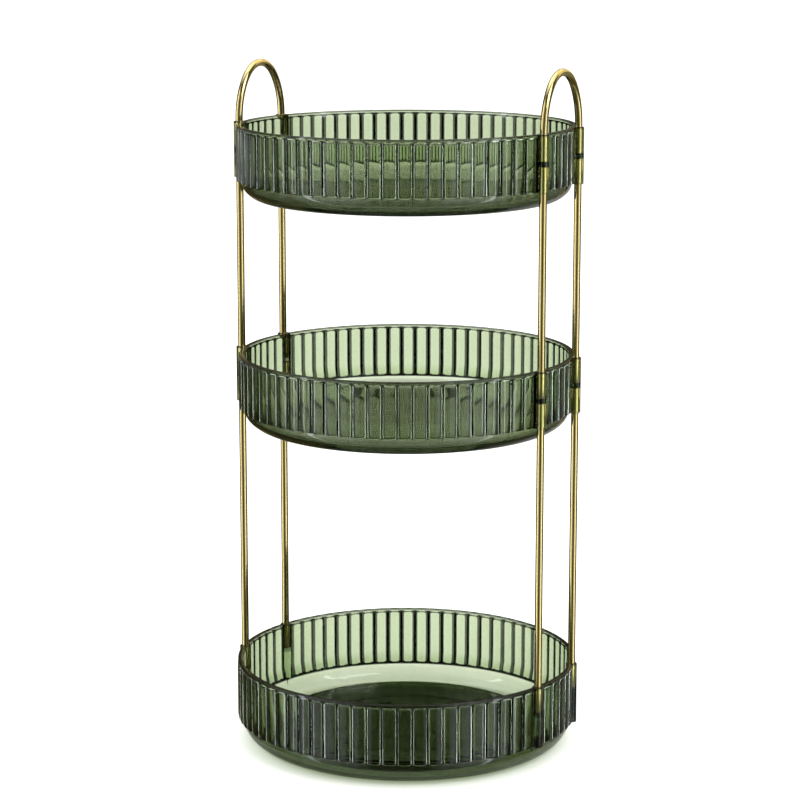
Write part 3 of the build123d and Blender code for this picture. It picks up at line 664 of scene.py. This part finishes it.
# ------------------------------------------------------------- rods and handles
def rod(name, node, angle, z0, z1):
    c = (ROD_RING_R * math.cos(math.radians(angle)), ROD_RING_R * math.sin(math.radians(angle)))
    ch = 0.4
    rings = [(ROD_R - ch, z0), (ROD_R - ch * 0.35, z0 + ch * 0.3), (ROD_R, z0 + ch)]
    steps = 12
    rings += [(ROD_R, z0 + ch + (z1 - z0 - 2 * ch) * k / steps) for k in range(1, steps)]
    rings += [(ROD_R, z1 - ch), (ROD_R - ch * 0.35, z1 - ch * 0.3), (ROD_R - ch, z1)]
    obj = new_object(name, lathe(rings, 48, c, name), GOLD)
    shade(obj.data, 35)
    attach(obj, "tower")
    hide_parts(node)
    return obj


for rname, rang in zip(ROD_NAMES, ROD_ANGLES):
    rod(f"lower_rod_{rname}_bar", f"lower_rod_{rname}", rang, BOTTOM_RIM - SOCKET_UP, MIDDLE_RIM - RIBBED_H + SOCKET_DOWN)
    rod(f"upper_rod_{rname}_bar", f"upper_rod_{rname}", rang, MIDDLE_RIM - SOCKET_UP, TOP_RIM - RIBBED_H + SOCKET_DOWN)


def handle(name, node, sign):
    """The arch: two straight legs, two long flank arcs and a crown arc."""
    half = ROD_RING_R * math.sin(math.radians(LEG_HALF))
    x = sign * ROD_RING_R * math.cos(math.radians(LEG_HALF))
    z0 = TOP_RIM - SOCKET_UP
    crown_z = TOP_RIM + ARCH_RISE - ARCH_TOP_R
    ca = math.radians(ARCH_CROWN)
    knee = (ARCH_TOP_R * math.sin(ca), crown_z + ARCH_TOP_R * math.cos(ca))
    flank_r = (half - ARCH_TOP_R * math.sin(ca)) / (1 - math.sin(ca))
    spring = knee[1] - flank_r * math.cos(ca)
    pts = [(-half, z0 + d) for d in (0.0, 0.25, 1.0)]
    pts += [(-half, z0 + 1 + (spring - z0 - 1) * k / 10) for k in range(1, 10)]
    left = arc((half - flank_r, spring), flank_r, 0, 90 - ARCH_CROWN, 22)
    pts += [(-p[0], p[1]) for p in left]
    pts += [(ARCH_TOP_R * math.sin(a), crown_z + ARCH_TOP_R * math.cos(a)) for a in np.linspace(-ca, ca, 41)[1:-1]]
    pts += left[::-1]
    pts += [(half, z) for z in [z0 + 1 + (spring - z0 - 1) * k / 10 for k in range(9, 0, -1)] + [z0 + 1, z0 + 0.25, z0]]
    seg = 40
    verts, faces = [], []
    for i, (py, pz) in enumerate(pts):
        a = pts[max(i - 1, 0)]
        b = pts[min(i + 1, len(pts) - 1)]
        t = Vector((0, b[0] - a[0], b[1] - a[1])).normalized()
        side = Vector((1, 0, 0))
        up = t.cross(side)
        r = ROD_R - (0.4 if i in (0, len(pts) - 1) else 0.12 if i in (1, len(pts) - 2) else 0.0)
        for k in range(seg):
            q = 2 * math.pi * k / seg
            v = Vector((x, py, pz)) + side * (r * math.cos(q)) + up * (r * math.sin(q))
            verts.append(tuple(v * MM))
    rows = len(pts)
    for i in range(rows - 1):
        for k in range(seg):
            n = (k + 1) % seg
            faces.append((i * seg + k, (i + 1) * seg + k, (i + 1) * seg + n, i * seg + n))
    faces.append(tuple(range(seg)))
    faces.append(tuple((rows - 1) * seg + k for k in reversed(range(seg))))
    mesh = bpy.data.meshes.new(name)
    mesh.from_pydata(verts, [], faces)
    mesh.update()
    bm = bmesh.new()
    bm.from_mesh(mesh)
    bmesh.ops.recalc_face_normals(bm, faces=bm.faces)
    bm.to_mesh(mesh)
    bm.free()
    obj = new_object(name, mesh, GOLD)
    shade(mesh, 35)
    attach(obj, "tower")
    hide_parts(node)
    return obj


handle("right_handle_bar", "right_handle", 1)
handle("left_handle_bar", "left_handle", -1)

# -------------------------------------------------------------- carried-over nodes
for node, mat in {
    "turntable_base": STEEL,
    "turntable_top_plate": STEEL,
    "anti_slip_feet": RUBBER,
    "bearing_balls": BALLS,
    "ball_cage": CAGE,
    "fixing_screws": SCREW,
    "pivot_rivet": RIVET,
    "pivot_washer": RIVET,
}.items():
    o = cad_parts[node]
    o.data.materials.clear()
    o.data.materials.append(mat)

# ---------------------------------------------------------------------- stage
def stage_floor():
    n = 96
    rings = [0.05, 0.12, 0.25, 0.5, 1.0, 2.0, 4.0, 9.0, 20.0, 45.0]
    verts, faces = [(0, 0, 0)], []
    for r in rings:
        for k in range(n):
            a = 2 * math.pi * k / n
            verts.append((r * math.cos(a), r * math.sin(a), 0))
    for k in range(n):
        faces.append((0, 1 + k, 1 + (k + 1) % n))
    for i in range(len(rings) - 1):
        for k in range(n):
            m = (k + 1) % n
            faces.append((1 + i * n + k, 1 + (i + 1) * n + k, 1 + (i + 1) * n + m, 1 + i * n + m))
    mesh = bpy.data.meshes.new("studio_floor")
    mesh.from_pydata(verts, [], faces)
    mesh.update()
    t = Tree("studio_floor")
    obj = t.node("ShaderNodeTexCoord").outputs["Object"]
    pale = t.principled(Roughness=0.75)
    t.link(t.ramp(t.noise(obj, 3.0, 3.0), [(0.3, (0.90, 0.90, 0.895)), (0.7, (0.92, 0.92, 0.915))]), pale.inputs["Base Color"])
    pale.inputs["Specular IOR Level"].default_value = 0.1
    path = t.node("ShaderNodeLightPath")
    mix = t.node("ShaderNodeMixShader")
    apart = t.node("ShaderNodeVectorMath", operation="LENGTH")
    t.link(obj, apart.inputs[0])
    away = t.math("GREATER_THAN", apart.outputs["Value"], 0.122)
    t.link(t.math("MULTIPLY", away, t.math("GREATER_THAN", path.outputs["Glossy Depth"], 0.5)), mix.inputs[0])
    t.link(pale.outputs[0], mix.inputs[1])
    t.link(t.node("ShaderNodeBsdfTransparent").outputs[0], mix.inputs[2])
    t.link(mix.outputs[0], t.out.inputs["Surface"])
    o = new_object("studio_floor", mesh, t.mat)
    return o


stage_floor()


def studio_world():
    """A white room for sight and soft light; polished surfaces mirror three
    soft boxes set evenly round the object, with dark gaps between."""
    w = bpy.data.worlds.new("studio")
    bpy.context.scene.world = w
    w.use_nodes = True
    nt = w.node_tree
    nt.nodes.clear()
    t = Tree.__new__(Tree)
    t.nt = nt
    out = nt.nodes.new("ShaderNodeOutputWorld")
    tc = t.node("ShaderNodeTexCoord")
    sep = t.node("ShaderNodeSeparateXYZ")
    t.link(tc.outputs["Generated"], sep.inputs[0])
    x, y, z = sep.outputs
    az = t.math("ARCTAN2", y, x)

    def lobe(centre, half, soft):
        """1 inside the given azimuth range, 0 outside it."""
        c = t.math("COSINE", t.math("SUBTRACT", az, math.radians(centre)))
        return t.remap(c, math.cos(math.radians(half + soft)), math.cos(math.radians(half - soft)), 0.0, 1.0, True)

    right = t.math("ADD", t.math("MULTIPLY", lobe(-14, 25, 7), 0.70), t.math("MULTIPLY", lobe(-12, 9, 7), 0.14))
    left = t.math("ADD", t.math("MULTIPLY", lobe(-127, 30, 8), 0.62), t.math("MULTIPLY", lobe(-124, 10, 8), 0.13))
    behind = t.math("MULTIPLY", lobe(105, 18, 6), 0.25)
    behind = t.math("MULTIPLY", behind, t.remap(z, 0.02, 0.10, 1.0, 0.12, True))
    strips = t.math("MULTIPLY", t.math("ADD", lobe(-2, 2.0, 1.0), lobe(-138, 2.0, 1.0)), 4.0)
    # a dim one, level with the top tray
    level_box = t.math("MULTIPLY", lobe(160, 20, 8), 0.40)
    level_box = t.math("MULTIPLY", level_box, t.remap(z, -0.165, -0.125, 0.0, 1.0, True))
    level_box = t.math("MULTIPLY", level_box, t.remap(z, -0.03, 0.02, 1.0, 0.0, True))
    behind = t.math("ADD", behind, level_box)
    # a warm one, mostly above the tower, that lights the arches of the handles
    high = lobe(78, 26, 6)
    over = t.math("MULTIPLY", high, t.remap(z, 0.02, 0.16, 0.14, 0.86, True))
    boxes = t.math("ADD", t.math("ADD", right, left), t.math("ADD", t.math("ADD", behind, over), strips))
    boxes = t.math("MULTIPLY", boxes, t.math("MULTIPLY", t.remap(z, 0.75, 0.55, 0.0, 1.0, True), t.remap(z, -0.80, -0.40, 0.15, 1.0, True)))
    # a bright ceiling that reaches lower at the back
    back = t.math("COSINE", t.math("SUBTRACT", az, math.radians(115)))
    top = t.remap(t.math("ADD", z, t.math("MULTIPLY", back, 0.25)), 0.62, 0.82, 0.0, 1.0, True)
    lit = t.math("ADD", boxes, t.math("MULTIPLY", top, 0.95))
    mirror = t.node("ShaderNodeBackground")
    tone = t.node("ShaderNodeMix", data_type="RGBA", blend_type="MIX")
    bright = t.node("ShaderNodeMix", data_type="RGBA", blend_type="MIX")
    bright.inputs[6].default_value = (0.97, 1.0, 1.04, 1)
    bright.inputs[7].default_value = (1.04, 0.90, 0.62, 1)
    t.link(t.math("MULTIPLY", high, t.remap(z, -0.06, 0.03, 0.0, 1.0, True)), bright.inputs[0])
    t.link(bright.outputs[2], tone.inputs[7])
    t.link(t.remap(lit, 0.0, 1.0, 0.0, 1.0), tone.inputs[0])
    t.link(tone.outputs[2], mirror.inputs["Color"])
    level = t.math("MAXIMUM", lit, 1.0)
    path = t.node("ShaderNodeLightPath")
    # the dark part of the room: warm round the rods, neutral inside the walls
    depth = path.outputs["Transmission Depth"]
    warm = t.remap(depth, 0.4, 0.9, 1.0, 0.0)
    gap = t.node("ShaderNodeMix", data_type="RGBA", blend_type="MIX")
    gap.inputs[6].default_value = (0.060, 0.066, 0.052, 1)
    gap.inputs[7].default_value = (0.072, 0.069, 0.024, 1)
    t.link(warm, gap.inputs[0])
    t.link(gap.outputs[2], tone.inputs[6])
    # light that has been turned back inside the plastic comes from the dark
    # part of the room; light seen through several walls keeps most of it
    through = path.outputs["Transmission Depth"]
    inside = t.remap(through, 0.5, 1.5, 1.0, 0.4)
    deep = t.remap(through, 3.2, 3.9, 0.0, 1.5)
    t.link(t.math("MULTIPLY", level, t.math("ADD", inside, deep)), mirror.inputs["Strength"])
    # the sharpest glints, on the rib edges, come from lamps inside the boxes
    glint = t.node("ShaderNodeBackground")
    glint.inputs["Color"].default_value = (0.84, 1.0, 0.86, 1)
    lamps = t.math("ADD", t.math("MULTIPLY", lobe(20, 25, 8), 7.5), t.math("MULTIPLY", lobe(-150, 25, 8), 4.6))
    lamps = t.math("ADD", t.math("ADD", lamps, t.math("MULTIPLY", lobe(85, 20, 8), 2.0)), 0.7)
    t.link(lamps, glint.inputs["Strength"])
    sight = t.node("ShaderNodeMixShader")
    t.link(path.outputs["Is Singular Ray"], sight.inputs[0])
    t.link(mirror.outputs[0], sight.inputs[1])
    t.link(glint.outputs[0], sight.inputs[2])
    room = t.node("ShaderNodeBackground")
    room.inputs["Color"].default_value = (1.0, 1.0, 1.0, 1)
    t.link(t.math("ADD", 1.0, t.math("MULTIPLY", path.outputs["Is Diffuse Ray"], 0.75)), room.inputs["Strength"])
    turned = t.math("GREATER_THAN", path.outputs["Glossy Depth"], 0.5)
    mix = t.node("ShaderNodeMixShader")
    t.link(turned, mix.inputs[0])
    t.link(room.outputs[0], mix.inputs[1])
    t.link(sight.outputs[0], mix.inputs[2])
    t.link(mix.outputs[0], out.inputs["Surface"])


studio_world()


def area(name, loc, target, size, energy, color=(1, 1, 1)):
    d = bpy.data.lights.new(name, "AREA")
    d.shape = "RECTANGLE"
    d.size, d.size_y = size
    d.energy = energy
    d.color = color
    o = bpy.data.objects.new(name, d)
    o.location = loc
    o.rotation_euler = (Vector(target) - Vector(loc)).to_track_quat("-Z", "Y").to_euler()
    bpy.context.scene.collection.objects.link(o)
    o.visible_camera = False
    o.visible_transmission = False
    return o


area("key_right", (1.5, -0.6, 1.9), (0, 0, 0.2), (1.2, 1.2), 14)
area("fill_top", (-0.3, 0.4, 2.4), (0, 0, 0.2), (2.0, 2.0), 10)

# --------------------------------------------------------------------- camera
AZ = math.radians(25.6)
cam_data = bpy.data.cameras.new("photo_camera")
cam_data.sensor_width = 36.0
cam_data.lens = 36.0 * 2576.7 / 800.0
cam_data.clip_start, cam_data.clip_end = 0.05, 200.0
cam = bpy.data.objects.new("photo_camera", cam_data)
bpy.context.scene.collection.objects.link(cam)
cam.location = (math.sin(AZ) * 1.6948, -math.cos(AZ) * 1.6948, 0.5713)
cam.rotation_euler = (math.radians(90 - 11.26), 0, AZ + math.radians(0.151))
bpy.context.scene.camera = cam

sc = bpy.context.scene
sc.view_settings.view_transform = "Standard"
sc.view_settings.look = "None"
sc.cycles.max_bounces = 28
sc.cycles.transmission_bounces = 26
sc.cycles.glossy_bounces = 10
sc.cycles.diffuse_bounces = 3
sc.cycles.transparent_max_bounces = 32
sc.cycles.caustics_reflective = False
sc.cycles.caustics_refractive = False
sc.cycles.sample_clamp_indirect = 8.0
